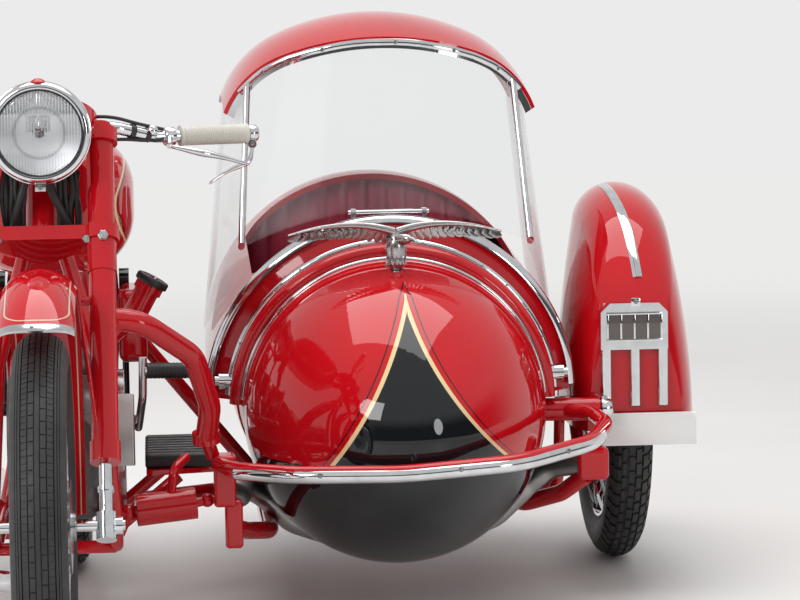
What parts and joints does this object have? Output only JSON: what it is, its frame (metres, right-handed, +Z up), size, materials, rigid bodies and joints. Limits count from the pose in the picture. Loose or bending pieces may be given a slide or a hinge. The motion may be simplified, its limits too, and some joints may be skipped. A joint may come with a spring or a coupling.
{
  "type": "sidecar motorcycle",
  "caption": "Touring motorcycle with a forward-facing single cylinder and an enclosed single-seat sidecar: steering, wheels, canopy and stand move.",
  "frame": {"origin": "on the floor under the middle of the whole vehicle", "axes": "-Y is the direction of travel, +X is the vehicle's left where the sidecar is, +Z is up"},
  "size_m": [1.6909, 2.3977, 1.1788],
  "materials": {
    "red_paint": "deep gloss enamel",
    "black_paint": "gloss",
    "chrome": "bright",
    "polished_steel": "polished",
    "cast_alloy": "cast, lightly polished",
    "tyre": "worn rubber",
    "black_rubber": "ribbed",
    "grip_rubber": "ribbed cream",
    "black_leather": "smooth",
    "seat_leather": "grained",
    "clear_pane": "clear, slightly aged",
    "lamp_glass": "fluted"
  },
  "bodies": {
    "outfit": {"bird_mascot": "chrome", "canister": "red_paint", "canopy_hinge": "chrome", "cowl_bands": "chrome", "cross_tube": "cast_alloy", "engine_block": "cast_alloy", "engine_cylinder": "cast_alloy", "exhaust": "chrome", "flywheel": "polished_steel", "flywheel_guard": "cast_alloy", "footboard_brackets": "red_paint", "footboards": "black_rubber", "front_bumper": "red_paint", "fuel_tank": "red_paint", "gooseneck_strut": "red_paint", "guard_lamp_trim": "chrome", "kickstart_lever": "chrome", "lower_link": "red_paint", "main_frame": "red_paint", "pillion_seat": "black_leather", "rear_dampers": "black_paint", "rear_lamp": "red_paint", "rear_mudguard": "red_paint", "rear_struts": "red_paint", "rider_saddle": "black_leather", "sidecar_backrest": "seat_leather", "sidecar_chassis": "red_paint", "sidecar_cowl": "red_paint", "sidecar_mudguard": "red_paint", "sidecar_nose": "red_paint", "sidecar_seat": "seat_leather", "sidecar_swing_arm": "red_paint", "sidecar_tub": "red_paint", "swing_arm": "red_paint", "tool_boxes": "red_paint"},
    "steering": {"fork_legs": "red_paint", "fork_sliders": "chrome", "front_mudguard": "red_paint", "headlamp_shell": "red_paint", "headlamp_rim": "chrome", "headlamp_lens": "lamp_glass", "fork_nacelle": "red_paint", "handlebar": "chrome", "grips": "grip_rubber", "hand_levers": "chrome"},
    "front_wheel": {"front_tyre": "tyre", "front_rim": "chrome", "front_hub": "red_paint"},
    "rear_wheel": {"rear_tyre": "tyre", "rear_rim": "chrome", "rear_hub": "cast_alloy"},
    "sidecar_wheel": {"sidecar_tyre": "tyre", "sidecar_rim": "chrome", "sidecar_hub": "cast_alloy"},
    "canopy": {"windscreen": "clear_pane", "side_windows": "clear_pane", "canopy_roof": "red_paint", "canopy_frame": "chrome"},
    "stand": {"centre_stand": "black_paint"}
  },
  "joints": [
    {"name": "steering", "type": "hinge", "parent": "outfit", "child": "steering", "pos_m": [-0.46, -0.56955, 0.76154], "axis": [0, 0.454, 0.891], "range_deg": [-30, 30]},
    {"name": "front_wheel_spin", "type": "hinge", "parent": "steering", "child": "front_wheel", "pos_m": [-0.46, -0.868, 0.33], "axis": [1, 0, 0], "continuous": true},
    {"name": "rear_wheel_spin", "type": "hinge", "parent": "outfit", "child": "rear_wheel", "pos_m": [-0.46, 0.604, 0.33], "axis": [1, 0, 0], "continuous": true},
    {"name": "sidecar_wheel_spin", "type": "hinge", "parent": "outfit", "child": "sidecar_wheel", "pos_m": [0.707, 0.542, 0.33], "axis": [1, 0, 0], "continuous": true},
    {"name": "canopy_tilt", "type": "hinge", "parent": "outfit", "child": "canopy", "pos_m": [0.198, 0.058, 0.7855], "axis": [1, 0, 0], "range_deg": [0, 50]},
    {"name": "centre_stand", "type": "hinge", "parent": "outfit", "child": "stand", "pos_m": [-0.46, 0.092, 0.168], "axis": [-1, 0, 0], "range_deg": [0, 30]}
  ]
}
